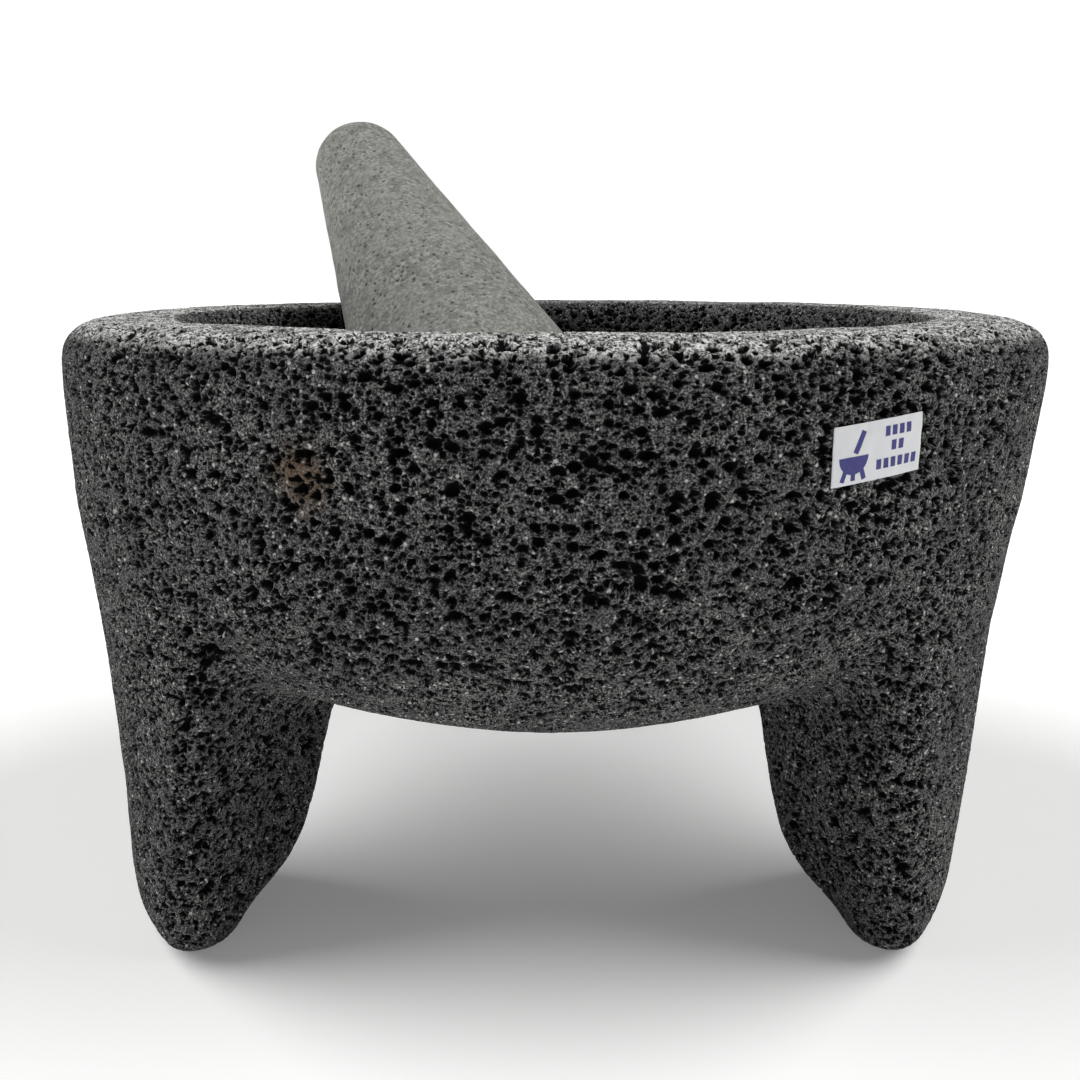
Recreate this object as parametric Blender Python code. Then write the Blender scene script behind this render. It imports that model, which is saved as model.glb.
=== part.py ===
"""A molcajete: a three-legged basalt mortar, its loose pestle and a paper origin label.

The bowl and the legs are carved from one block, so they are one solid. The mortar stands on the
floor at z = 0 with its axis on +Z. Its front faces -Y and its third leg is at the back, on +Y.
"""

import math

import bmesh
import bpy
from mathutils import Matrix, Vector, noise
from mathutils.bvhtree import BVHTree

# Mortar: overall sizes
RIM_RADIUS = 0.1016  # an 8 inch bowl
HEIGHT = 0.1208  # floor to the crest of the rim
# height and outer radius, up the outer faces of the legs and the wall
WALL = ((0.0, 0.0927), (0.028, 0.0940), (0.058, 0.0960), (0.083, 0.0993), (0.110, RIM_RADIUS))

# Mortar: rim
SHOULDER_DROP = 0.0060  # the rounded outer edge of the rim starts this far under its crest
SHOULDER_WIDTH = 0.0075
LIP_WIDTH = 0.0050  # the rounded inner edge of the rim
LIP_DROP = 0.0045
CAVITY_TOP = HEIGHT - LIP_DROP

# Mortar: bowl
CAVITY_RADIUS = 0.0750
CAVITY_DEPTH = 0.0570
CAVITY_CLEARANCE = 0.0080  # stone left between the hollow and the inner edge of a leg
BELLY_TOP = 0.0893  # the outside leaves the wall here and turns in under the bowl
BELLY_BOTTOM = 0.0363

# Mortar: legs
LEG_AZIMUTHS = (-28.0, 90.0, 208.5)
LEG_HALF_ANGLE_FOOT = 14.8  # degrees round the axis, from the middle of a leg to its edge
LEG_HALF_ANGLE_GAIN = 151.0  # degrees more for each metre of height
LEG_EDGE_RADIUS = 0.0060  # the two long outer edges
LEG_NOSE_RADIUS = 0.0120  # the inner edge, which faces the axis
LEG_NOSE_SHARE = 0.45  # the inner edge's radius is at most this share of the leg's depth
LEG_NOSE = 0.0595  # how far the inner edge is from the axis, before its slope and tuck
LEG_NOSE_SLOPE = 0.20  # the inner edge leans towards the axis by this much for each unit of height
FOOT_TUCK = 0.0140  # the inner edge swings out by this much at the floor
FOOT_TUCK_HEIGHT = 0.0055
FOOT_ROUND = 0.0055  # radius that the outer face and sides turn under with at the floor
FOOT_SPARE = 0.0030  # the legs are made this much too long, and then cut flat at the floor
LEG_TOP = 0.0895
LEG_SINK = 0.0003  # the outer faces lie this far inside the wall where they run into it

# Mortar: the surface left by hand carving
LEAN = 0.0028  # the feet sit this far to the left of the rim, which is centred on the axis
CARVING_DEPTH = 0.0009
CARVING_LENGTH = 0.035
CARVING_UP = 0.6  # the share of the dents' depth that also moves the surface up or down
CARVING_SEED = 2  # which field of dents; with no seed, each run would make another one

# Mortar: mesh
BOWL_SIDES = 72
CURVE_STEPS = 16  # along the belly's and the cavity's quarter ellipses
VOXEL = 0.0020
SMOOTHING_PASSES = 16
TRIANGLE_SHARE = 0.105

# Pestle: it leans from the bottom of the bowl over the rim at the far left
PESTLE_SIDES = 40
PESTLE_HANDLE_RADIUS = 0.0133
PESTLE_GRINDING_RADIUS = 0.0283
PESTLE_LENGTH = 0.1389
PESTLE_GRINDING_CROWN = 0.0265  # height of the rounded grinding end
PESTLE_HANDLE_CROWN = 0.0120
PESTLE_LEAN = 50.3  # degrees from upright
PESTLE_LEAN_AZIMUTH = 119.7  # degrees from +X, towards the far left
PESTLE_GRINDING_CENTRE = Vector((-0.0162, 0.0089, 0.0941))

# Label
LABEL_WIDTH = 0.0170
LABEL_HEIGHT = 0.0089
LABEL_THICKNESS = 0.0003
LABEL_AZIMUTH = -62.5
LABEL_CENTRE_Z = 0.1038
LABEL_TILT = 4.6

CONTACT_GAP = 0.0003


def clear_scene():
    for obj in list(bpy.data.objects):
        bpy.data.objects.remove(obj, do_unlink=True)


def stone(name, colour, roughness):
    """A plain Principled material."""
    material = bpy.data.materials.new(name)
    material.use_nodes = True
    shader = material.node_tree.nodes["Principled BSDF"]
    shader.inputs["Base Color"].default_value = (*colour, 1.0)
    shader.inputs["Roughness"].default_value = roughness
    shader.inputs["Metallic"].default_value = 0.0
    return material


def add_object(name, bm):
    """Links a new object that holds the bmesh."""
    mesh = bpy.data.meshes.new(name)
    bm.to_mesh(mesh)
    bm.free()
    obj = bpy.data.objects.new(name, mesh)
    bpy.context.scene.collection.objects.link(obj)
    return obj


def wall_radius(z):
    """Outer radius of the bowl's wall and of the legs' outer faces at a height."""
    for (low, low_radius), (high, high_radius) in zip(WALL, WALL[1:]):
        if z <= high:
            share = max(z - low, 0.0) / (high - low)
            return low_radius + (high_radius - low_radius) * share
    return RIM_RADIUS


def steps(first, last, count):
    """Evenly spaced values from first to last, both included."""
    return [first + (last - first) * i / count for i in range(count + 1)]


def circle_point(radius, angle):
    return Vector((radius * math.cos(angle), radius * math.sin(angle)))


def quarter(centre, reach, start, count):
    """Points of a quarter ellipse; start is the angle of its first point, and it turns anticlockwise."""
    angles = [math.radians(a) for a in steps(start, start + 90.0, count)]
    return [(centre[0] + reach[0] * math.cos(a), centre[1] + reach[1] * math.sin(a)) for a in angles]


def bowl_outline():
    """(radius, height) from the bottom of the belly, up the wall, over the rim and down the cavity."""
    shoulder = HEIGHT - SHOULDER_DROP
    belly_reach = (wall_radius(BELLY_TOP), BELLY_TOP - BELLY_BOTTOM)
    outline = quarter((0.0, BELLY_TOP), belly_reach, -90.0, CURVE_STEPS)
    outline += [(wall_radius(z), z) for z in steps(BELLY_TOP, shoulder, 6)[1:-1]]
    outline += quarter((RIM_RADIUS - SHOULDER_WIDTH, shoulder), (SHOULDER_WIDTH, SHOULDER_DROP), 0.0, 5)
    outline += quarter((CAVITY_RADIUS + LIP_WIDTH, CAVITY_TOP), (LIP_WIDTH, LIP_DROP), 90.0, 4)
    cavity_reach = (CAVITY_RADIUS, CAVITY_DEPTH - LIP_DROP)
    cavity = quarter((0.0, CAVITY_TOP), cavity_reach, -90.0, CURVE_STEPS)
    return outline + cavity[-2::-1]


def turned(outline, sides):
    """A closed solid of revolution; the outline starts and ends on the axis."""
    bm = bmesh.new()
    rings = []
    for radius, z in outline:
        if radius < 1e-6:
            rings.append([bm.verts.new((0.0, 0.0, z))])
            continue
        angles = steps(0.0, 2.0 * math.pi, sides)[:-1]
        rings.append([bm.verts.new((radius * math.cos(a), radius * math.sin(a), z)) for a in angles])
    for low, high in zip(rings, rings[1:]):
        for i in range(sides):
            after = i + 1
            lower = [low[i % len(low)], low[after % len(low)]]
            upper = [high[after % len(high)], high[i % len(high)]]
            bm.faces.new(list(dict.fromkeys(lower + upper)))
    bmesh.ops.recalc_face_normals(bm, faces=bm.faces)
    return bm


def cavity_radius(z):
    """Radius of the hollow at a height, or 0 below its floor."""
    drop = (CAVITY_TOP - z) / (CAVITY_DEPTH - LIP_DROP)
    return CAVITY_RADIUS * math.sqrt(max(0.0, 1.0 - drop * drop))


def leg_section(z):
    """A level section of a leg on +X: an arc along the wall with round edges, closing on a round nose."""
    rise = min(max(z, 0.0), FOOT_ROUND)
    under = FOOT_ROUND - math.sqrt(FOOT_ROUND**2 - (FOOT_ROUND - rise) ** 2)
    outer = wall_radius(z) - LEG_SINK - under
    half = math.radians(LEG_HALF_ANGLE_FOOT + LEG_HALF_ANGLE_GAIN * max(z, 0.0)) - under / outer
    nose = LEG_NOSE - LEG_NOSE_SLOPE * z + FOOT_TUCK * math.exp(-max(z, 0.0) / FOOT_TUCK_HEIGHT)
    nose = max(nose, cavity_radius(z) + CAVITY_CLEARANCE)
    nose_radius = min(LEG_NOSE_RADIUS, LEG_NOSE_SHARE * (outer - nose))
    edge_angle = half - LEG_EDGE_RADIUS / outer
    edge = Vector((math.cos(edge_angle), math.sin(edge_angle))) * (outer - LEG_EDGE_RADIUS)
    nose_centre = Vector((nose + nose_radius, 0.0))
    side = edge - nose_centre
    side_normal = math.atan2(side.y, side.x) + math.acos((nose_radius - LEG_EDGE_RADIUS) / side.length)
    points = [Vector((outer * math.cos(a), outer * math.sin(a))) for a in steps(0.0, edge_angle, 4)]
    points += [edge + circle_point(LEG_EDGE_RADIUS, a) for a in steps(edge_angle, side_normal, 4)[1:]]
    points += [nose_centre + circle_point(nose_radius, a) for a in steps(side_normal, math.pi, 4)]
    mirrored = [Vector((p.x, -p.y)) for p in reversed(points[1:-1])]
    return [p.to_3d() + Vector((0.0, 0.0, z)) for p in points + mirrored]


def leg(azimuth):
    """One leg, lofted through its sections and turned to its place."""
    bm = bmesh.new()
    heights = [-FOOT_SPARE, 0.0]
    heights += [FOOT_ROUND * share for share in (0.15, 0.35, 0.7, 1.0, 1.5, 2.2)]
    heights += steps(3.0 * FOOT_ROUND, LEG_TOP, 12)
    rings = [[bm.verts.new(p) for p in leg_section(z)] for z in heights]
    for low, high in zip(rings, rings[1:]):
        for i in range(len(low)):
            after = (i + 1) % len(low)
            bm.faces.new((low[i], low[after], high[after], high[i]))
    bm.faces.new(rings[0][::-1])
    bm.faces.new(rings[-1])
    bmesh.ops.recalc_face_normals(bm, faces=bm.faces)
    bmesh.ops.rotate(bm, verts=bm.verts, matrix=Matrix.Rotation(math.radians(azimuth), 3, "Z"))
    return bm


def carve(mesh):
    """Makes the block uneven, as hand-dressed stone is: a slight lean, and a smooth field of dents."""
    noise.seed_set(CARVING_SEED)
    for vertex in mesh.vertices:
        vertex.co.x += LEAN * (vertex.co.z / HEIGHT - 1.0)
        offset = noise.noise_vector(vertex.co / CARVING_LENGTH) * CARVING_DEPTH
        vertex.co += Vector((offset.x, offset.y, offset.z * CARVING_UP))


def settled_mesh(obj, name):
    """The object's mesh with its modifiers applied."""
    graph = bpy.context.evaluated_depsgraph_get()
    mesh = bpy.data.meshes.new_from_object(obj.evaluated_get(graph))
    mesh.name = name
    return mesh


def cut_at_floor(mesh):
    """Cuts the three feet off flat at z = 0."""
    bm = bmesh.new()
    bm.from_mesh(mesh)
    everything = list(bm.verts) + list(bm.edges) + list(bm.faces)
    bmesh.ops.bisect_plane(bm, geom=everything, plane_co=(0, 0, 0), plane_no=(0, 0, 1), clear_inner=True)
    rim = [edge for edge in bm.edges if edge.is_boundary]
    bmesh.ops.holes_fill(bm, edges=rim)
    bmesh.ops.triangulate(bm, faces=bm.faces)
    bmesh.ops.recalc_face_normals(bm, faces=bm.faces)
    bm.to_mesh(mesh)
    bm.free()


def build_mortar():
    """The bowl and its three legs, joined into one stone and worn smooth."""
    mortar = add_object("mortar", turned(bowl_outline(), BOWL_SIDES))
    legs = [add_object(f"leg_{i}", leg(azimuth)) for i, azimuth in enumerate(LEG_AZIMUTHS)]
    for guide in legs:
        union = mortar.modifiers.new(guide.name, "BOOLEAN")
        union.operation = "UNION"
        union.object = guide
    remesh = mortar.modifiers.new("even_grid", "REMESH")
    remesh.mode = "VOXEL"
    remesh.voxel_size = VOXEL
    smooth = mortar.modifiers.new("soft_edges", "SMOOTH")
    smooth.factor = 0.5
    smooth.iterations = SMOOTHING_PASSES
    decimate = mortar.modifiers.new("fewer_faces", "DECIMATE")
    decimate.ratio = TRIANGLE_SHARE
    bpy.context.view_layer.update()
    mesh = settled_mesh(mortar, "mortar")
    mortar.modifiers.clear()
    for guide in legs:
        bpy.data.objects.remove(guide, do_unlink=True)
    mortar.data = mesh
    carve(mesh)
    cut_at_floor(mesh)
    mesh.shade_smooth()
    mesh.materials.append(stone("basalt", (0.060, 0.060, 0.062), 0.9))
    return mortar


def pestle_outline():
    """(radius, height) along the pestle, from its grinding end at 0 to the tip of its handle."""
    outline = quarter((0.0, PESTLE_GRINDING_CROWN), (PESTLE_GRINDING_RADIUS, PESTLE_GRINDING_CROWN), -90.0, 9)
    handle_top = PESTLE_LENGTH - PESTLE_HANDLE_CROWN
    for i in range(1, 10):
        share = i / 10
        radius = PESTLE_GRINDING_RADIUS + (PESTLE_HANDLE_RADIUS - PESTLE_GRINDING_RADIUS) * share
        outline.append((radius, PESTLE_GRINDING_CROWN + (handle_top - PESTLE_GRINDING_CROWN) * share))
    outline += quarter((0.0, handle_top), (PESTLE_HANDLE_RADIUS, PESTLE_HANDLE_CROWN), 0.0, 7)
    return outline


def build_pestle():
    """The pestle, with its origin at the tip of its grinding end, leant against the rim."""
    pestle = add_object("pestle", turned(pestle_outline(), PESTLE_SIDES))
    lean = Matrix.Rotation(math.radians(PESTLE_LEAN_AZIMUTH), 4, "Z")
    lean = lean @ Matrix.Rotation(math.radians(PESTLE_LEAN), 4, "Y")
    foot = lean @ Vector((0.0, 0.0, -PESTLE_GRINDING_CROWN))
    pestle.matrix_world = Matrix.Translation(PESTLE_GRINDING_CENTRE + foot) @ lean
    pestle.data.shade_smooth()
    pestle.data.materials.append(stone("dressed_basalt", (0.190, 0.190, 0.175), 0.85))
    return pestle


def build_label(mortar):
    """A rectangle of paper that follows the wall, a contact gap off it."""
    points = [vertex.co for vertex in mortar.data.vertices]
    tree = BVHTree.FromPolygons(points, [face.vertices for face in mortar.data.polygons])
    columns = 9
    rows = 5
    tilt = math.radians(LABEL_TILT)
    bm = bmesh.new()
    layers = []
    for lift in (CONTACT_GAP, CONTACT_GAP + LABEL_THICKNESS):
        grid = []
        for row in range(rows):
            for column in range(columns):
                across = LABEL_WIDTH * (column / (columns - 1) - 0.5)
                up = LABEL_HEIGHT * (row / (rows - 1) - 0.5)
                z = LABEL_CENTRE_Z + up * math.cos(tilt) + across * math.sin(tilt)
                along = across * math.cos(tilt) - up * math.sin(tilt)
                azimuth = math.radians(LABEL_AZIMUTH) + along / wall_radius(z)
                outward = Vector((math.cos(azimuth), math.sin(azimuth), 0.0))
                start = outward * (2.0 * RIM_RADIUS) + Vector((0.0, 0.0, z))
                hit = tree.ray_cast(start, -outward)[0]
                grid.append(bm.verts.new(hit + outward * lift))
        layers.append(grid)
    inner, outer = layers
    for row in range(rows - 1):
        for column in range(columns - 1):
            i = row * columns + column
            corners = (i, i + 1, i + columns + 1, i + columns)
            bm.faces.new([outer[c] for c in corners])
            bm.faces.new([inner[c] for c in reversed(corners)])
    for edge in [edge for edge in bm.edges if edge.is_boundary and edge.verts[0] in outer]:
        a, b = edge.verts
        bm.faces.new((a, b, inner[outer.index(b)], inner[outer.index(a)]))
    bmesh.ops.recalc_face_normals(bm, faces=bm.faces)
    label = add_object("label", bm)
    label.data.materials.append(stone("label_paper", (0.80, 0.80, 0.80), 0.6))
    return label


def main():
    clear_scene()
    mortar = build_mortar()
    build_pestle()
    build_label(mortar)
    bpy.context.view_layer.update()


main()
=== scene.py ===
"""The looks of a molcajete: a three-legged basalt mortar, its loose pestle and a small paper label.

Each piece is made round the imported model, in metres, and stands for one node of it:
mortar_stone and pestle_stone are fine, pored meshes made from the plain solids, and the label is
a sheet of paper pressed onto the mortar's wall, with a printed picture and rows of ink on it.
"""

import math

import bpy
from mathutils import Euler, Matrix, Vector
from mathutils import noise as ripples
from mathutils.bvhtree import BVHTree


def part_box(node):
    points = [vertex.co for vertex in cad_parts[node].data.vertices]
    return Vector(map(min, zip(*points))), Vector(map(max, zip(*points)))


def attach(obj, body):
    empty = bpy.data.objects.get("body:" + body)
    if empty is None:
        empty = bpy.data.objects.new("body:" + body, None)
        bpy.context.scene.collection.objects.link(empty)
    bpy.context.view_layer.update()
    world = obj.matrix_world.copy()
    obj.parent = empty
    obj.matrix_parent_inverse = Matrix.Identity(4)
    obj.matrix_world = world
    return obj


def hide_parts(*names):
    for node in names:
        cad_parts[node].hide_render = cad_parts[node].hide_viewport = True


bl_info = {
    "name": "Molcajete",
    "version": (1, 0, 0),
    "blender": (4, 5, 0),
    "location": "3D View > Sidebar > Molcajete",
    "description": "Makes the stone, the label and the studio of a three-legged basalt mortar",
    "category": "Object",
}

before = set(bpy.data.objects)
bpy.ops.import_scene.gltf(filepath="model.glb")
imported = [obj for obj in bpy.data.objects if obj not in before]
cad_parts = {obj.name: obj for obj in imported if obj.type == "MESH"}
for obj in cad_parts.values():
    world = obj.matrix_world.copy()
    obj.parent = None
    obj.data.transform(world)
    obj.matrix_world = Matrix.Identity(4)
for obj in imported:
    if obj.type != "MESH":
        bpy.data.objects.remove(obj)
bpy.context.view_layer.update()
MM = 0.001

# The gas bubbles in each stone, from the widest down: the width of the cell that holds at most one,
# the smallest and largest radius as a share of it, and how many times wider than high they are.
CAVERNS = (7.0 * MM, -0.35, 0.30, 2.0)
LARGE = (2.4 * MM, 0.08, 0.62, 1.35)
SMALL = (1.20 * MM, 0.25, 0.66, 1.35)
FINE = (0.66 * MM, 0.05, 0.62, 1.30)
PRICKS = (1.4 * MM, 0.00, 0.40, 1.00)
# Pale feldspar grains, with the same numbers, and how far they are moved off the bubbles.
FELDSPAR = (0.95 * MM, -0.30, 0.42, 1.00)
FELDSPAR_MOVE = (0.5, 0.5, 0.5)
# How far in from its edge a carved bubble is at its full depth, as a share of its radius.
FULL_DEPTH_FROM = 0.55
PORE_WARP = 0.45 * MM
WARP_SIZE = 1.1 * MM
GRAIN_SIZE = 0.36 * MM
GRIT_SIZE = 2.2 * GRAIN_SIZE
DRESSING_SIZE = 14.0 * MM

# How deep the surface is cut: caverns and small bubbles as a share of the large ones, then grit.
CAVERN_DEPTH = 1.3
SMALL_DEPTH = 0.5
GRIT_DEPTH = 0.22 * MM
DRESSING_DEPTH = 0.5 * MM
PRICK_DEPTH = 0.35 * MM
PESTLE_GRIT_DEPTH = 0.12 * MM
SMOOTHING_PASSES = 14

# Where dust lies: on the rim's top, from the mortar's own height, and not on its inner edge.
MORTAR_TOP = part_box("mortar")[1].z
RIM_DUST_LOW = MORTAR_TOP - 9 * MM
RIM_DUST_HIGH = MORTAR_TOP - 2 * MM
RIM_INNER = 80 * MM
RIM_INNER_BLEND = 1 * MM
DUST_THINS_FROM = 20 * MM
DUST_THINS_TO = 70 * MM
DUST_AT_BACK = 0.45

# Marks on the wall: centre, radius, colour and strength.
MARKS = (
    ((-0.036, -0.094, 0.100), 7 * MM, "#6b5238", 0.65),
    ((-0.093, -0.035, 0.096), 4 * MM, "#a3a39f", 0.45),
    ((0.092, -0.040, 0.094), 4 * MM, "#a3a39f", 0.45),
    ((0.006, -0.094, 0.092), 5 * MM, "#6e6c58", 0.35),
)

# The label's paper and ink, and how far from the bowl's middle the wall is looked for.
OUTSIDE = 200 * MM
PAPER_STEP = 0.25 * MM
PAPER_THICKNESS = 0.10 * MM
PAPER_LIFT = 0.12 * MM
PAPER_RIPPLE = 0.10 * MM
RIPPLE_SIZE = 2.2 * MM
INK_LIFT = 0.02 * MM
INK_STEP = 0.4 * MM

# The print: a small picture of a mortar on the left, and rows of plain blocks on the right.
PICTURE_MIDDLE = (-4.7 * MM, -0.3 * MM)
PICTURE_RADIUS = 2.7 * MM
PICTURE_RINGS = (0.02, 0.2, 0.4, 0.6, 0.8, 1.0)
PICTURE_STEPS = 18
# Its three legs and its bar: where each starts and ends, from the middle, and its width.
PICTURE_BARS = (
    ((-0.55 * PICTURE_RADIUS, -2.1 * MM), (-0.75 * PICTURE_RADIUS, -3.6 * MM), 0.8 * MM),
    ((0.0, -2.1 * MM), (0.0, -3.6 * MM), 0.8 * MM),
    ((0.55 * PICTURE_RADIUS, -2.1 * MM), (0.75 * PICTURE_RADIUS, -3.6 * MM), 0.8 * MM),
    ((0.2 * MM, 0.45 * MM), (1.7 * MM, 3.6 * MM), 0.95 * MM),
)
BLOCK_ROWS = ((2.6 * MM, 4), (0.35 * MM, 2), (-2.2 * MM, 6))
BLOCK_MIDDLE = 3.6 * MM
BLOCK_WIDTH = 0.95 * MM
BLOCK_HEIGHT = 1.5 * MM
BLOCK_PITCH = 1.40 * MM

# The camera, in front of the mortar and looking a little down into it.
CAMERA_PLACE = (-0.0014, -0.2438, 0.1293)
CAMERA_PITCH = 80.0
CAMERA_LENS = 36.15
CAMERA_SHIFT = (-0.0067, -0.0726)
CAMERA_CLIP = 10 * MM

# The studio: two broad soft lights, from the left and the right above, and a white room.
SUNS = {"left": (-1.0, 0.05, 1.0), "right": (1.0, 0.05, 1.0)}
SUN_ANGLE = 50.0
WORLD_LIGHT = 0.07
WORLD_SEEN = 1.0
FLOOR_GLOW = 0.16
FLOOR_REACH = 6.0


def linear(code):
    """A linear colour from an sRGB hex code."""
    parts = [int(code[i:i + 2], 16) / 255 for i in (1, 3, 5)]
    return tuple(p / 12.92 if p <= 0.04045 else ((p + 0.055) / 1.055) ** 2.4 for p in parts)


def add(tree, kind, links=None, **settings):
    """A new node with its settings. Each of its inputs is given a value, an output or a node.

    A node stands for its first output that is in use.
    """
    node = tree.nodes.new(kind)
    for name, value in settings.items():
        setattr(node, name, value)
    for key, value in (links or {}).items():
        if isinstance(value, bpy.types.Node):
            value = next(output for output in value.outputs if output.enabled)
        if isinstance(value, bpy.types.NodeSocket):
            tree.links.new(value, node.inputs[key])
        else:
            node.inputs[key].default_value = value
    return node


def link_object(name, mesh):
    piece = bpy.data.objects.new(name, mesh)
    bpy.context.scene.collection.objects.link(piece)
    return piece


# ---------------------------------------------------------------- patterns in the stone


def bubbles(tree, place, kind, full):
    """1 inside a gas bubble and 0 outside it; full is how far in from its edge it reaches 1.

    There is at most one bubble to a cell, and its radius is from smallest to largest of a cell:
    a smallest radius below 0 leaves some cells without one.
    """
    cell, smallest, largest, flatness = kind
    scaled = add(tree, "ShaderNodeVectorMath",
                 {0: place, 1: (1 / cell, 1 / cell, flatness / cell)}, operation="MULTIPLY")
    cells = add(tree, "ShaderNodeTexVoronoi", {"Vector": scaled, "Scale": 1.0})
    chance = add(tree, "ShaderNodeSeparateXYZ", {0: cells.outputs["Color"]})
    radius = add(tree, "ShaderNodeMapRange", {"Value": chance, "To Min": smallest, "To Max": largest})
    real = add(tree, "ShaderNodeMath", {0: radius, 1: 0.001}, operation="MAXIMUM")
    share = add(tree, "ShaderNodeMath", {0: cells, 1: real}, operation="DIVIDE")
    depth = add(tree, "ShaderNodeMath", {0: 1.0, 1: share}, operation="SUBTRACT", use_clamp=True)
    return add(tree, "ShaderNodeMapRange", {"Value": depth, "From Max": full},
               interpolation_type="SMOOTHSTEP")


def warped(tree, place, size, amount):
    """A place moved a little by mottling, so that round shapes come out uneven."""
    cloud = mottling(tree, place, size, detail=2.0, roughness=0.5)
    centred = add(tree, "ShaderNodeVectorMath",
                  {0: cloud.outputs["Color"], 1: (0.5, 0.5, 0.5)}, operation="SUBTRACT")
    return add(tree, "ShaderNodeVectorMath",
               {0: centred, 1: (2 * amount,) * 3, 2: place}, operation="MULTIPLY_ADD")


def mottling(tree, place, size, detail=3.0, roughness=0.55):
    """Soft mottling whose patches are about size wide, from 0 to 1."""
    scaled = add(tree, "ShaderNodeVectorMath", {0: place, "Scale": 1 / size}, operation="SCALE")
    return add(tree, "ShaderNodeTexNoise",
               {"Vector": scaled, "Scale": 1.0, "Detail": detail, "Roughness": roughness})


def patches(tree, place, size, low, high, start=0.0, end=1.0, **cloud):
    """Patches about size wide: mottling brought smoothly from low..high to start..end."""
    return add(tree, "ShaderNodeMapRange",
               {"Value": mottling(tree, place, size, **cloud), "From Min": low, "From Max": high,
                "To Min": start, "To Max": end}, interpolation_type="SMOOTHSTEP")


def spot(tree, place, centre, radius):
    """1 inside a ragged patch about a centre, and 0 outside it."""
    apart = add(tree, "ShaderNodeVectorMath", {0: place, 1: centre}, operation="DISTANCE")
    cloud = mottling(tree, place, radius * 0.6, detail=4.0)
    ragged = add(tree, "ShaderNodeMath",
                 {0: cloud, 1: radius, 2: apart.outputs["Value"]}, operation="MULTIPLY_ADD")
    return add(tree, "ShaderNodeMapRange",
               {"Value": ragged, "From Min": radius * 0.5, "From Max": radius * 1.5,
                "To Min": 1.0, "To Max": 0.0}, interpolation_type="SMOOTHSTEP")


def coats(tree, base, layers):
    """A colour with others laid over it in turn, each by its share from 0 to 1 and its strength."""
    for share, strength, over in layers:
        amount = add(tree, "ShaderNodeMath", {0: share, 1: strength}, operation="MULTIPLY")
        base = add(tree, "ShaderNodeMix", {0: amount, 6: base, 7: over}, data_type="RGBA")
    return base


# ---------------------------------------------------------------- the stone's mesh


def carving_tree(name, layers, grit, dressing):
    """Geometry nodes that sink bubbles into a surface and keep its smooth place for the material.

    layers holds each size of bubble with its greatest depth; grit and dressing are the depths of
    the fine roughness and of the slow waves that hand dressing leaves.
    """
    tree = bpy.data.node_groups.new(name, "GeometryNodeTree")
    for way in ("INPUT", "OUTPUT"):
        tree.interface.new_socket("Geometry", in_out=way, socket_type="NodeSocketGeometry")
    start = add(tree, "NodeGroupInput")
    place = add(tree, "GeometryNodeInputPosition")
    normal = add(tree, "GeometryNodeInputNormal")
    kept = add(tree, "GeometryNodeStoreNamedAttribute",
               {"Geometry": start, "Name": "rest", "Value": place},
               data_type="FLOAT_VECTOR", domain="POINT")
    up = add(tree, "ShaderNodeSeparateXYZ", {0: normal}).outputs["Z"]
    facing = add(tree, "GeometryNodeStoreNamedAttribute",
                 {"Geometry": kept, "Name": "facing_up", "Value": up},
                 data_type="FLOAT", domain="POINT")
    uneven = warped(tree, place, WARP_SIZE, PORE_WARP)
    depth = 0.0
    for kind, deepest in layers:
        bubble = bubbles(tree, uneven, kind, FULL_DEPTH_FROM)
        hole = add(tree, "ShaderNodeMath", {0: bubble, 1: deepest}, operation="MULTIPLY")
        depth = add(tree, "ShaderNodeMath", {0: depth, 1: hole}, operation="MAXIMUM")
    waves = mottling(tree, place, DRESSING_SIZE, detail=2.0)
    for cloud, deepest in ((mottling(tree, place, GRIT_SIZE), grit), (waves, dressing)):
        depth = add(tree, "ShaderNodeMath", {0: cloud, 1: deepest, 2: depth}, operation="MULTIPLY_ADD")
    outward = add(tree, "ShaderNodeMath", {0: depth, 1: -1.0}, operation="MULTIPLY")
    inward = add(tree, "ShaderNodeVectorMath", {0: normal, "Scale": outward}, operation="SCALE")
    moved = add(tree, "GeometryNodeSetPosition", {"Geometry": facing, "Offset": inward})
    add(tree, "NodeGroupOutput", {0: moved})
    return tree


def carved_stone(node, name, grain, tree):
    """A fine mesh of a plain solid, in its place, with its bubbles and tool marks sunk into it."""
    piece = link_object(name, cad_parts[node].data.copy())
    remesh = piece.modifiers.new("even", "REMESH")
    remesh.mode = "VOXEL"
    remesh.voxel_size = grain
    smooth = piece.modifiers.new("smooth", "SMOOTH")
    smooth.iterations = SMOOTHING_PASSES
    carve = piece.modifiers.new("carve", "NODES")
    carve.node_group = tree
    graph = bpy.context.evaluated_depsgraph_get()
    mesh = bpy.data.meshes.new_from_object(piece.evaluated_get(graph))
    piece.modifiers.clear()
    piece.data = mesh
    mesh.name = name
    mesh.shade_smooth()
    mesh.materials.clear()
    return piece


# ---------------------------------------------------------------- materials


def new_material(name):
    """A material with its nodes emptied, and its shader, already linked to the output."""
    material = bpy.data.materials.new(name)
    material.use_nodes = True
    tree = material.node_tree
    tree.nodes.clear()
    shader = add(tree, "ShaderNodeBsdfPrincipled")
    add(tree, "ShaderNodeOutputMaterial", {"Surface": shader})
    return material, tree, shader


def finish_surface(tree, shader, looks, roughness, relief=None, rise=0.0, strength=1.0):
    """Gives a shader its mixed colour and roughness, and its relief, which rises by so many metres."""
    tree.links.new(looks.outputs[2], shader.inputs["Base Color"])
    shader.inputs["Roughness"].default_value = roughness
    if relief is not None:
        bump = add(tree, "ShaderNodeBump", {"Height": relief, "Distance": rise, "Strength": strength})
        tree.links.new(bump.outputs["Normal"], shader.inputs["Normal"])


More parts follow.
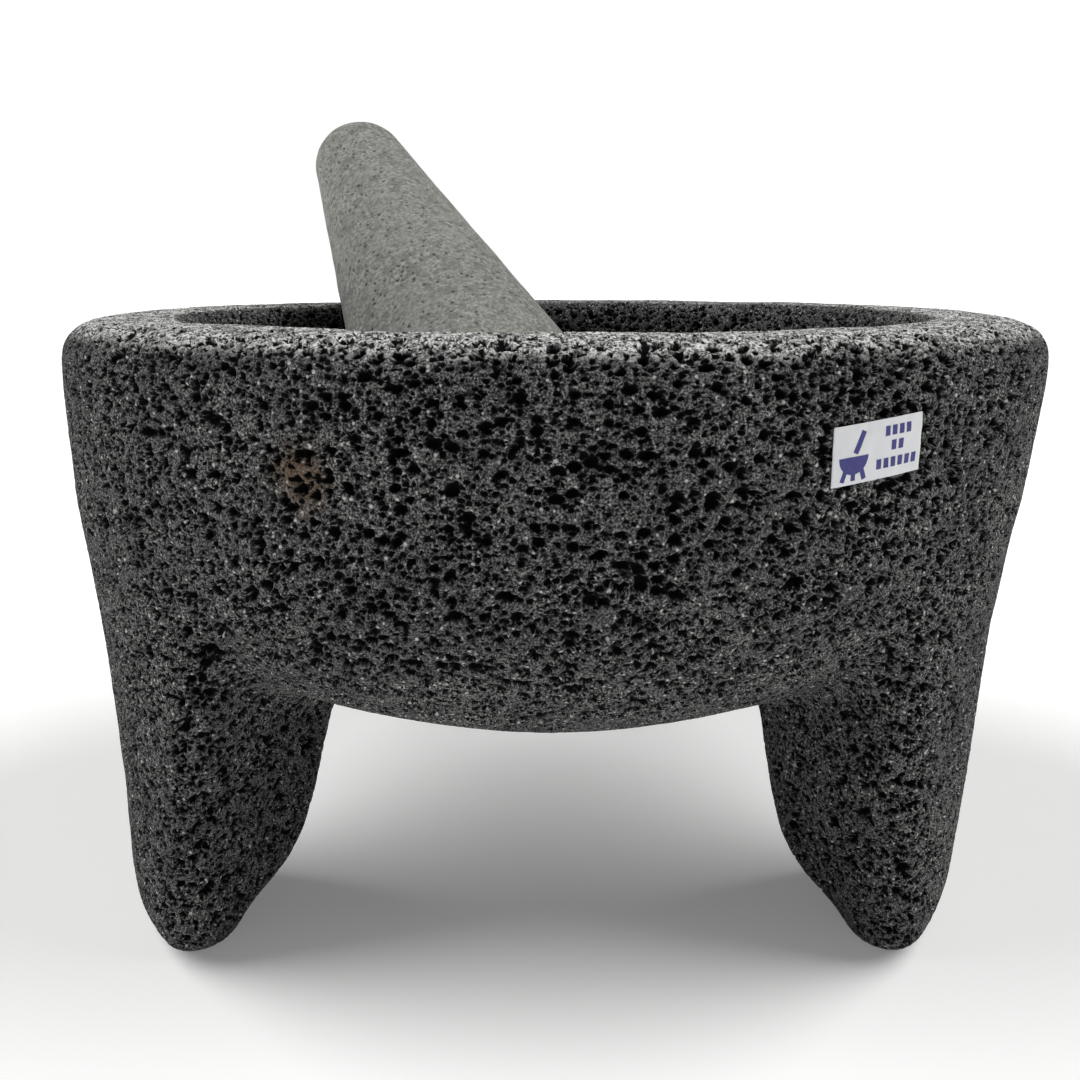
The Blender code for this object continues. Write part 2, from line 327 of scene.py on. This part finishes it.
def rim_dust(tree, place):
    """Where stone dust lies, from 0 to 1: on the ground top of the rim, thinner to its edges."""
    facing_up = add(tree, "ShaderNodeAttribute", attribute_name="facing_up").outputs["Fac"]
    parts = add(tree, "ShaderNodeSeparateXYZ", {0: place})
    flat = add(tree, "ShaderNodeVectorMath", {0: place, 1: (1, 1, 0)}, operation="MULTIPLY")
    radius = add(tree, "ShaderNodeVectorMath", {0: flat}, operation="LENGTH").outputs["Value"]
    ragged = patches(tree, place, 4 * MM, 0.3, 0.7, -0.25, 0.25)
    for size, low, high, least, most in ((1.0 * MM, 0.35, 0.65, 0.0, 0.8),
                                         (0.3 * MM, 0.40, 0.62, -0.35, 0.50)):
        ragged = add(tree, "ShaderNodeMath",
                     {0: ragged, 1: patches(tree, place, size, low, high, least, most)}, operation="ADD")
    dust = 1.0
    for value, low, high in ((parts.outputs["Z"], RIM_DUST_LOW, RIM_DUST_HIGH),
                             (radius, RIM_INNER - RIM_INNER_BLEND, RIM_INNER + RIM_INNER_BLEND),
                             (facing_up, 0.45, 0.95)):
        ramp = add(tree, "ShaderNodeMapRange", {"Value": value, "From Min": low, "From Max": high},
                   interpolation_type="SMOOTHSTEP")
        dust = add(tree, "ShaderNodeMath", {0: dust, 1: ramp}, operation="MULTIPLY")
    dust = add(tree, "ShaderNodeMath", {0: dust, 1: ragged}, operation="MULTIPLY", use_clamp=True)
    thinner = add(tree, "ShaderNodeMapRange",
                  {"Value": parts.outputs["Y"], "From Min": DUST_THINS_FROM, "From Max": DUST_THINS_TO,
                   "To Min": 1.0, "To Max": DUST_AT_BACK}, interpolation_type="SMOOTHSTEP")
    return add(tree, "ShaderNodeMath", {0: dust, 1: thinner}, operation="MULTIPLY")


def basalt_material(settings):
    """Vesicular basalt, shaped with a pick and left matt.

    The open bubbles are painted near black inside, as painted shade for the shade that falls in them;
    the walls between them are broken stone with pale feldspar grains, and the ground rim holds pale
    dust. Grains are drawn a little coarser than real ones, which are too fine to show.
    """
    material, tree, shader = new_material("vesicular basalt, pick dressed")
    place = add(tree, "ShaderNodeAttribute", attribute_name="rest").outputs["Vector"]
    uneven = warped(tree, place, WARP_SIZE, PORE_WARP)
    crystals = add(tree, "ShaderNodeVectorMath", {0: place, 1: FELDSPAR_MOVE}, operation="ADD")
    grains = patches(tree, place, GRAIN_SIZE, 0.42, 0.70, roughness=0.8)

    # Each size of bubble, how far in from its edge its painted shade is full, and how dark that painted
    # shade is.
    sizes = ((CAVERNS, 0.20, 1.0), (LARGE, 0.30, 1.0), (SMALL, 0.30, 1.0), (FINE, 0.45, 0.8))
    pore_shade_mask = 0.0
    for kind, full, shade_strength in sizes:
        hole = add(tree, "ShaderNodeMath", {0: bubbles(tree, uneven, kind, full), 1: shade_strength},
                   operation="MULTIPLY")
        pore_shade_mask = add(tree, "ShaderNodeMath", {0: pore_shade_mask, 1: hole}, operation="MAXIMUM")

    weathered = patches(tree, place, 22 * MM, 0.35, 0.65)
    marks = [(spot(tree, place, centre, radius), strength, (*linear(code), 1.0))
             for centre, radius, code, strength in MARKS]
    looks = coats(tree, (*settings.dark, 1.0), [
        (grains, 1.0, (*settings.light, 1.0)),
        (weathered, 0.35, (*settings.weathered, 1.0)),
        (rim_dust(tree, place), 1.0, (*settings.dust, 1.0)),
        (bubbles(tree, crystals, FELDSPAR, 0.5), 0.75, (*settings.feldspar, 1.0)),
        *marks,
        # Painted shade: near black inside the bubbles, for the shade that falls in them.
        (pore_shade_mask, 1.0, (*settings.pore_shade, 1.0)),
    ])
    # The wider bubbles are cut into the mesh. The finest, which came last, are too small for it.
    raised = add(tree, "ShaderNodeMath", {0: grains, 1: 0.25}, operation="MULTIPLY")
    relief = add(tree, "ShaderNodeMath", {0: raised, 1: hole}, operation="SUBTRACT")
    finish_surface(tree, shader, looks, 0.9, relief, 0.35 * MM, 0.8)
    shader.inputs["Specular IOR Level"].default_value = 0.12
    return material


def rubbed_material(settings):
    """A finer, paler basalt, rubbed smooth, for the hand.

    Its few bubbles are pin pricks, darkened inside with painted shade, and the rubbing leaves a pale,
    slightly olive grey with dark grains.
    """
    material, tree, shader = new_material("fine basalt, rubbed smooth")
    place = add(tree, "ShaderNodeAttribute", attribute_name="rest").outputs["Vector"]
    grains = patches(tree, place, 0.9 * MM, 0.34, 0.66, detail=4.0, roughness=0.7)
    pricks = bubbles(tree, warped(tree, place, WARP_SIZE, PORE_WARP), PRICKS, 0.5)
    looks = coats(tree, (*settings.dark, 1.0), (
        (grains, 1.0, (*settings.light, 1.0)),
        (patches(tree, place, 12 * MM, 0.35, 0.65), 0.4, (*settings.rubbed, 1.0)),
        (patches(tree, place, 3.2 * MM, 0.46, 0.66), 0.6, (*settings.dark, 1.0)),
        # Painted shade: darker inside the pin pricks, for the shade that falls in them.
        (pricks, 0.5, (*settings.prick_shade, 1.0)),
    ))
    raised = add(tree, "ShaderNodeMath", {0: grains, 1: 0.3}, operation="MULTIPLY")
    relief = add(tree, "ShaderNodeMath", {0: raised, 1: pricks}, operation="SUBTRACT")
    finish_surface(tree, shader, looks, 0.82, relief, 0.2 * MM, 0.7)
    shader.inputs["Specular IOR Level"].default_value = 0.35
    return material


def paper_material(settings):
    """Coated label paper: white, with a faint sheen and a little of the stone's grey rubbed onto it."""
    material, tree, shader = new_material("coated paper, die cut")
    place = add(tree, "ShaderNodeTexCoord").outputs["Object"]
    greyed = patches(tree, place, 1.8 * MM, 0.52, 0.75, detail=4.0)
    looks = coats(tree, (*settings.paper, 1.0), ((greyed, 0.25, (*settings.greyed_paper, 1.0)),))
    finish_surface(tree, shader, looks, 0.45, mottling(tree, place, 0.25 * MM), 0.03 * MM, 0.5)
    return material


def ink_material(settings):
    """Offset ink: one flat dark blue, slightly uneven where the paper is rough."""
    material, tree, shader = new_material("offset ink, printed")
    place = add(tree, "ShaderNodeTexCoord").outputs["Object"]
    thin = patches(tree, place, 0.4 * MM, 0.45, 0.8)
    looks = coats(tree, (*settings.ink, 1.0), ((thin, 0.3, (*settings.thin_ink, 1.0)),))
    finish_surface(tree, shader, looks, 0.5)
    return material


def floor_material(settings):
    """Opal acrylic, lit from below: matt and even, with a faint glow that keeps shadows pale."""
    material, _, shader = new_material("opal acrylic, lit from below")
    shader.inputs["Base Color"].default_value = (*settings.floor, 1.0)
    shader.inputs["Emission Color"].default_value = (1, 1, 1, 1)
    shader.inputs["Emission Strength"].default_value = FLOOR_GLOW
    shader.inputs["Roughness"].default_value = 0.9
    return material


# ---------------------------------------------------------------- the label


def wall_finder():
    """Finds the mortar's plain outer wall along a line: its BVH tree."""
    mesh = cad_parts["mortar"].data
    points = [v.co for v in mesh.vertices]
    return BVHTree.FromPolygons(points, [p.vertices for p in mesh.polygons])


def label_place(tree, settings, u, v, lift):
    """The point on the wall under the label's place u, v, from its middle in metres, raised by lift."""
    turn, tilt = settings.azimuth, settings.tilt
    out = Vector((math.cos(turn), math.sin(turn), 0.0))
    along = Vector((-math.sin(turn), math.cos(turn), 0.0))
    right = along * math.cos(tilt) + Vector((0, 0, 1)) * math.sin(tilt)
    upward = Vector((0, 0, 1)) * math.cos(tilt) - along * math.sin(tilt)
    start = out * OUTSIDE + Vector((0, 0, settings.centre)) + right * u + upward * v
    point, _, _, _ = tree.ray_cast(start, -out)
    if point is None:
        raise RuntimeError("the label's place is off the mortar's wall")
    ripple = ripples.noise(Vector((u, v, 0)) / RIPPLE_SIZE) * PAPER_RIPPLE
    return point + out * (lift + ripple)


def sheet_mesh(name, tree, settings, pieces, lift):
    """A mesh of pieces of the label, each a grid of its places in metres."""
    points = []
    faces = []
    for rows in pieces:
        first = len(points)
        columns = len(rows[0])
        points += [label_place(tree, settings, u, v, lift) for row in rows for u, v in row]
        for j in range(len(rows) - 1):
            for i in range(first + j * columns, first + (j + 1) * columns - 1):
                faces.append((i, i + 1, i + columns + 1, i + columns))
    mesh = bpy.data.meshes.new(name)
    mesh.from_pydata(points, [], faces)
    mesh.shade_smooth()
    return mesh


def grid(left, bottom, width, height, step):
    """Rows of places over a rectangle, no more than step apart."""
    across = max(2, math.ceil(round(width / step, 3)) + 1)
    up = max(2, math.ceil(round(height / step, 3)) + 1)
    return [
        [(left + width * i / (across - 1), bottom + height * j / (up - 1)) for i in range(across)]
        for j in range(up)
    ]


def leaning(start, end, width):
    """Rows of places over a bar from start to end."""
    (u0, v0), (u1, v1) = start, end
    length = math.hypot(u1 - u0, v1 - v0)
    side_u, side_v = (v1 - v0) / length * width / 2, -(u1 - u0) / length * width / 2
    steps = math.ceil(length / INK_STEP)
    rows = [(u0 + (u1 - u0) * j / steps, v0 + (v1 - v0) * j / steps) for j in range(steps + 1)]
    return [[(u - side_u, v - side_v), (u, v), (u + side_u, v + side_v)] for u, v in rows]


def picture():
    """A small picture of a mortar: half a disc on three short legs, with a leaning bar above it."""
    middle_u, middle_v = PICTURE_MIDDLE
    turns = [math.pi * (1 + i / PICTURE_STEPS) for i in range(PICTURE_STEPS + 1)]
    rings = [PICTURE_RADIUS * share for share in PICTURE_RINGS]
    bowl = [[(middle_u + r * math.cos(a), middle_v + r * math.sin(a)) for a in turns] for r in rings]
    bars = []
    for start, end, width in PICTURE_BARS:
        ends = [(middle_u + u, middle_v + v) for u, v in (start, end)]
        bars.append(leaning(*ends, width))
    return [bowl, *bars]


def blocks():
    """Rows of plain upright blocks, where a label would carry words."""
    return [
        grid(BLOCK_MIDDLE + (i - (count - 1) / 2) * BLOCK_PITCH - BLOCK_WIDTH / 2, v - BLOCK_HEIGHT / 2,
             BLOCK_WIDTH, BLOCK_HEIGHT, INK_STEP)
        for v, count in BLOCK_ROWS for i in range(count)
    ]


# ---------------------------------------------------------------- settings


class MortarSettings(bpy.types.PropertyGroup):
    """The mortar's stone"""

    grain: bpy.props.FloatProperty(
        name="Mesh grain", description="Width of one face of the surface",
        default=0.6 * MM, min=0.3 * MM, unit="LENGTH")
    pore_depth: bpy.props.FloatProperty(
        name="Pore depth", description="Depth of the large open bubbles",
        default=1.5 * MM, min=0.0, unit="LENGTH")
    dark: bpy.props.FloatVectorProperty(
        name="Dark grains", description="Colour of the darkest grains",
        default=linear("#1d1d1e"), min=0.0, max=1.0, subtype="COLOR")
    light: bpy.props.FloatVectorProperty(
        name="Light grains", description="Colour of the palest grains of the stone itself",
        default=linear("#a9a9a7"), min=0.0, max=1.0, subtype="COLOR")
    weathered: bpy.props.FloatVectorProperty(
        name="Weathered", description="Colour that the stone turns to in broad patches",
        default=linear("#3c3c3d"), min=0.0, max=1.0, subtype="COLOR")
    feldspar: bpy.props.FloatVectorProperty(
        name="Feldspar", description="Colour of the small pale crystals",
        default=linear("#d0d0cd"), min=0.0, max=1.0, subtype="COLOR")
    # Painted shade: near black for the shade that falls inside an open bubble.
    pore_shade: bpy.props.FloatVectorProperty(
        name="Inside a pore", description="Colour inside an open bubble",
        default=linear("#020202"), min=0.0, max=1.0, subtype="COLOR")
    dust: bpy.props.FloatVectorProperty(
        name="Dust", description="Colour of the stone dust on the rim",
        default=linear("#e2e2df"), min=0.0, max=1.0, subtype="COLOR")


class PestleSettings(bpy.types.PropertyGroup):
    """The pestle's stone"""

    grain: bpy.props.FloatProperty(
        name="Mesh grain", description="Width of one face of the surface",
        default=0.5 * MM, min=0.3 * MM, unit="LENGTH")
    dark: bpy.props.FloatVectorProperty(
        name="Dark grains", description="Colour of the darkest grains",
        default=linear("#63645f"), min=0.0, max=1.0, subtype="COLOR")
    light: bpy.props.FloatVectorProperty(
        name="Light grains", description="Colour of the palest grains",
        default=linear("#a4a59f"), min=0.0, max=1.0, subtype="COLOR")
    rubbed: bpy.props.FloatVectorProperty(
        name="Rubbed", description="Colour that rubbing leaves in broad patches",
        default=linear("#898a83"), min=0.0, max=1.0, subtype="COLOR")
    # Painted shade: the dark inside a pin prick stands for the shade that falls in it.
    prick_shade: bpy.props.FloatVectorProperty(
        name="Inside a prick", description="Colour inside a pin prick",
        default=linear("#2e2e2c"), min=0.0, max=1.0, subtype="COLOR")


class LabelSettings(bpy.types.PropertyGroup):
    """The paper label and its print"""

    width: bpy.props.FloatProperty(
        name="Width", description="Width of the paper", default=17.0 * MM, min=0.0, unit="LENGTH")
    height: bpy.props.FloatProperty(
        name="Height", description="Height of the paper", default=8.9 * MM, min=0.0, unit="LENGTH")
    centre: bpy.props.FloatProperty(
        name="Height of its middle", description="How high its middle is above the floor",
        default=103.8 * MM, unit="LENGTH")
    azimuth: bpy.props.FloatProperty(
        name="Azimuth", description="Where its middle is round the bowl, from the right side",
        default=math.radians(-62.5), subtype="ANGLE")
    tilt: bpy.props.FloatProperty(
        name="Tilt", description="How far its right end is turned up",
        default=math.radians(4.6), subtype="ANGLE")
    paper: bpy.props.FloatVectorProperty(
        name="Paper", description="Colour of the clean paper",
        default=linear("#d3d4d7"), min=0.0, max=1.0, subtype="COLOR")
    greyed_paper: bpy.props.FloatVectorProperty(
        name="Greyed paper", description="Colour of the paper where stone has rubbed on it",
        default=linear("#b9babb"), min=0.0, max=1.0, subtype="COLOR")
    ink: bpy.props.FloatVectorProperty(
        name="Ink", description="Colour of the print",
        default=linear("#23246f"), min=0.0, max=1.0, subtype="COLOR")
    thin_ink: bpy.props.FloatVectorProperty(
        name="Thin ink", description="Colour of the print where the ink is thin",
        default=linear("#4d4f96"), min=0.0, max=1.0, subtype="COLOR")


class StudioSettings(bpy.types.PropertyGroup):
    """The floor and the lights"""

    sun: bpy.props.FloatProperty(
        name="Light", description="Strength of each of the two lights", default=2.5, min=0.0)
    floor: bpy.props.FloatVectorProperty(
        name="Floor", description="Colour of the floor",
        default=linear("#fbfbfa"), min=0.0, max=1.0, subtype="COLOR")


class MakeMortar(bpy.types.Operator):
    """Make the mortar's pored stone"""

    bl_idname = "molcajete.mortar"
    bl_label = "Mortar"

    def execute(self, context):
        settings = context.scene.molcajete_mortar
        deep = settings.pore_depth
        layers = ((CAVERNS, deep * CAVERN_DEPTH), (LARGE, deep), (SMALL, deep * SMALL_DEPTH))
        tree = carving_tree("open bubbles", layers, GRIT_DEPTH, DRESSING_DEPTH)
        piece = carved_stone("mortar", "mortar_stone", settings.grain, tree)
        piece.data.materials.append(basalt_material(settings))
        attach(piece, "mortar")
        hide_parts("mortar")
        return {"FINISHED"}


class MakePestle(bpy.types.Operator):
    """Make the pestle's rubbed stone"""

    bl_idname = "molcajete.pestle"
    bl_label = "Pestle"

    def execute(self, context):
        settings = context.scene.molcajete_pestle
        tree = carving_tree("pin pricks", ((PRICKS, PRICK_DEPTH),), PESTLE_GRIT_DEPTH, DRESSING_DEPTH)
        piece = carved_stone("pestle", "pestle_stone", settings.grain, tree)
        piece.data.materials.append(rubbed_material(settings))
        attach(piece, "pestle")
        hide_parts("pestle")
        return {"FINISHED"}


class MakeLabel(bpy.types.Operator):
    """Make the paper label and the print on it"""

    bl_idname = "molcajete.label"
    bl_label = "Label"

    def execute(self, context):
        settings = context.scene.molcajete_label
        tree = wall_finder()
        width, height = settings.width, settings.height
        whole = grid(-width / 2, -height / 2, width, height, PAPER_STEP)
        paper = link_object("label_paper", sheet_mesh("label_paper", tree, settings, [whole], PAPER_LIFT))
        paper.data.materials.append(paper_material(settings))
        thick = paper.modifiers.new("thickness", "SOLIDIFY")
        thick.thickness = PAPER_THICKNESS
        thick.offset = -1.0
        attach(paper, "mortar")
        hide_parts("label")
        drawn = sheet_mesh("label_print", tree, settings, picture() + blocks(), PAPER_LIFT + INK_LIFT)
        ink = link_object("label_print", drawn)
        ink.data.materials.append(ink_material(settings))
        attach(ink, "mortar")
        return {"FINISHED"}


class MakeStudio(bpy.types.Operator):
    """Make the floor, the lights and the camera"""

    bl_idname = "molcajete.studio"
    bl_label = "Studio"

    def execute(self, context):
        settings = context.scene.molcajete_studio
        mesh = bpy.data.meshes.new("floor")
        corners = [(x * FLOOR_REACH, y * FLOOR_REACH, 0) for x, y in ((-1, -1), (1, -1), (1, 1), (-1, 1))]
        mesh.from_pydata(corners, [], [(0, 1, 2, 3)])
        floor = link_object("floor", mesh)
        mesh.materials.append(floor_material(settings))

        for name, place in SUNS.items():
            light = bpy.data.lights.new(name, "SUN")
            light.energy = settings.sun
            light.angle = math.radians(SUN_ANGLE)
            lamp = link_object(name, light)
            lamp.rotation_euler = Vector(place).to_track_quat("Z", "Y").to_euler()

        # The room looks white, and gives off much less light than it seems to.
        world = bpy.data.worlds.new("studio")
        world.use_nodes = True
        tree = world.node_tree
        tree.nodes.clear()
        seen = add(tree, "ShaderNodeLightPath").outputs["Is Camera Ray"]
        glow = add(tree, "ShaderNodeMapRange", {"Value": seen, "To Min": WORLD_LIGHT, "To Max": WORLD_SEEN})
        sky = add(tree, "ShaderNodeBackground", {"Color": (1, 1, 1, 1), "Strength": glow})
        add(tree, "ShaderNodeOutputWorld", {"Surface": sky})
        context.scene.world = world
        context.scene.view_settings.view_transform = "Standard"

        camera = link_object("camera", bpy.data.cameras.new("camera"))
        camera.location = CAMERA_PLACE
        camera.rotation_euler = Euler((math.radians(CAMERA_PITCH), 0, 0))
        camera.data.lens = CAMERA_LENS
        camera.data.shift_x, camera.data.shift_y = CAMERA_SHIFT
        camera.data.clip_start = CAMERA_CLIP
        context.scene.camera = camera
        return {"FINISHED"}


class MolcajetePanel(bpy.types.Panel):
    """Lists what can be made, and its settings"""

    bl_idname = "VIEW3D_PT_molcajete"
    bl_label = "Molcajete"
    bl_space_type = "VIEW_3D"
    bl_region_type = "UI"
    bl_category = "Molcajete"

    def draw(self, context):
        for operator in OPERATORS:
            self.layout.operator(operator.bl_idname)
        for place, group in GROUPS.items():
            for name in group.__annotations__:
                self.layout.prop(getattr(context.scene, place), name)


OPERATORS = (MakeStudio, MakeMortar, MakePestle, MakeLabel)
GROUPS = {
    "molcajete_mortar": MortarSettings,
    "molcajete_pestle": PestleSettings,
    "molcajete_label": LabelSettings,
    "molcajete_studio": StudioSettings,
}


def register():
    for item in (*GROUPS.values(), *OPERATORS, MolcajetePanel):
        bpy.utils.register_class(item)
    for place, group in GROUPS.items():
        setattr(bpy.types.Scene, place, bpy.props.PointerProperty(type=group))


def unregister():
    for place in GROUPS:
        delattr(bpy.types.Scene, place)
    for item in (MolcajetePanel, *OPERATORS, *GROUPS.values()):
        bpy.utils.unregister_class(item)


def main():
    register()
    bpy.ops.molcajete.studio()
    bpy.ops.molcajete.mortar()
    bpy.ops.molcajete.pestle()
    bpy.ops.molcajete.label()


if __name__ == "__main__":
    main()
